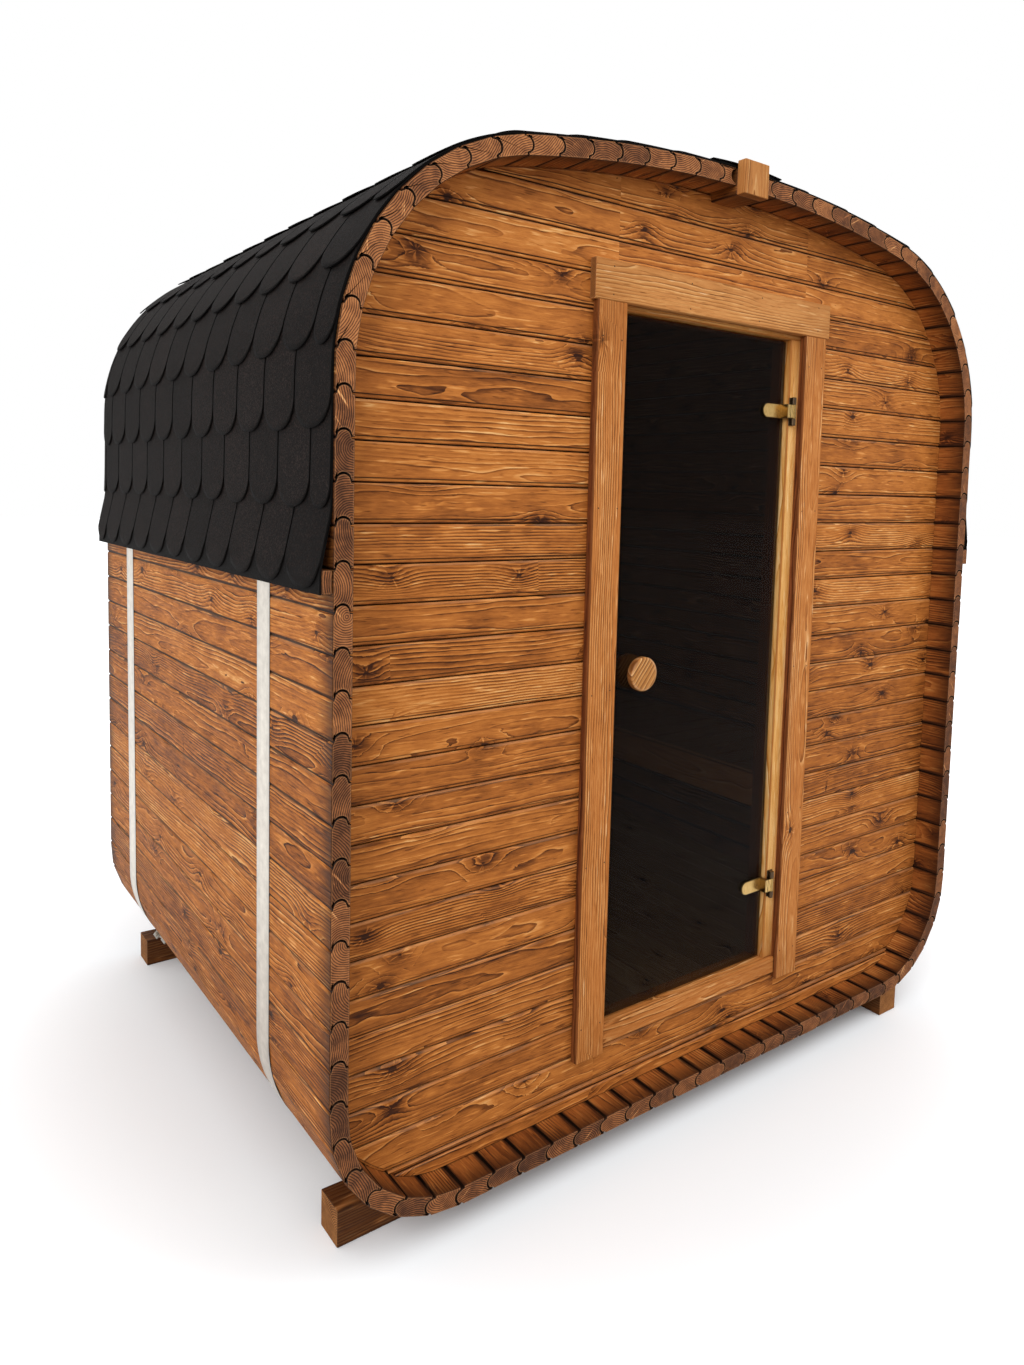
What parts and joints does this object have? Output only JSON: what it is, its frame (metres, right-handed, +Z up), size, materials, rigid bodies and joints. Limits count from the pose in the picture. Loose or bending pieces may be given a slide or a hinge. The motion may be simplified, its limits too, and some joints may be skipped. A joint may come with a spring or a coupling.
{
  "type": "outdoor sauna",
  "caption": "Outdoor sauna cabin: a rounded-square stave shell on short timber feet, with recessed end walls, a hinged glass door, an inside bench and a shingled upper half.",
  "frame": {"origin": "on the ground, under the middle of the cabin's bounding box", "axes": "+Z up, the door faces -Y, +X to the right when looking at the door"},
  "size_m": [2.26, 1.804, 2.452],
  "materials": {
    "stained_wood": "satin",
    "foot_wood": "satin",
    "trim_wood": "satin",
    "frame_pine": "satin",
    "inside_wood": "matte",
    "knob_wood": "satin",
    "tinted_glass": "polished",
    "hinge_brass": "polished",
    "hinge_black": "satin",
    "shingle": "matte",
    "band_steel": "brushed"
  },
  "bodies": {
    "cabin": {"foot_front_left": "foot_wood", "foot_front_right": "foot_wood", "foot_rear_left": "foot_wood", "foot_rear_right": "foot_wood", "shell_bottom": "stained_wood", "shell_corner_bottom_left": "stained_wood", "shell_corner_bottom_right": "stained_wood", "shell_side_left": "stained_wood", "shell_side_right": "stained_wood", "shell_corner_top_left": "stained_wood", "shell_corner_top_right": "stained_wood", "shell_roof_left": "stained_wood", "shell_roof_right": "stained_wood", "ridge_beam": "stained_wood", "ridge_end_blocks": "trim_wood", "front_wall_left": "stained_wood", "front_wall_right": "stained_wood", "front_wall_top": "stained_wood", "front_wall_bottom": "stained_wood", "rear_wall": "stained_wood", "base_strips": "stained_wood", "frame_jamb_left": "frame_pine", "frame_jamb_right": "frame_pine", "frame_head": "frame_pine", "door_sill": "stained_wood", "casing_left": "trim_wood", "casing_right": "trim_wood", "casing_head": "trim_wood", "hinge_knuckles": "hinge_black", "floor_joists": "inside_wood", "floor_boards": "inside_wood", "bench_rails": "inside_wood", "bench_end_cleats": "inside_wood", "bench_slats": "inside_wood", "bench_front_board": "inside_wood", "starter_battens": "stained_wood", "shingles_left": "shingle", "shingles_right": "shingle", "steel_band_front": "band_steel", "steel_band_rear": "band_steel"},
    "door": {"door_glass": "tinted_glass", "door_knob_outside": "knob_wood", "door_knob_inside": "knob_wood", "hinge_clamp_upper": "hinge_brass", "hinge_clamp_lower": "hinge_brass"}
  },
  "joints": [
    {"name": "door_hinge", "type": "hinge", "parent": "cabin", "child": "door", "pos_m": [0.302, -0.803, 1.19], "axis": [0, 0, 1], "range_deg": [0, 100]}
  ]
}
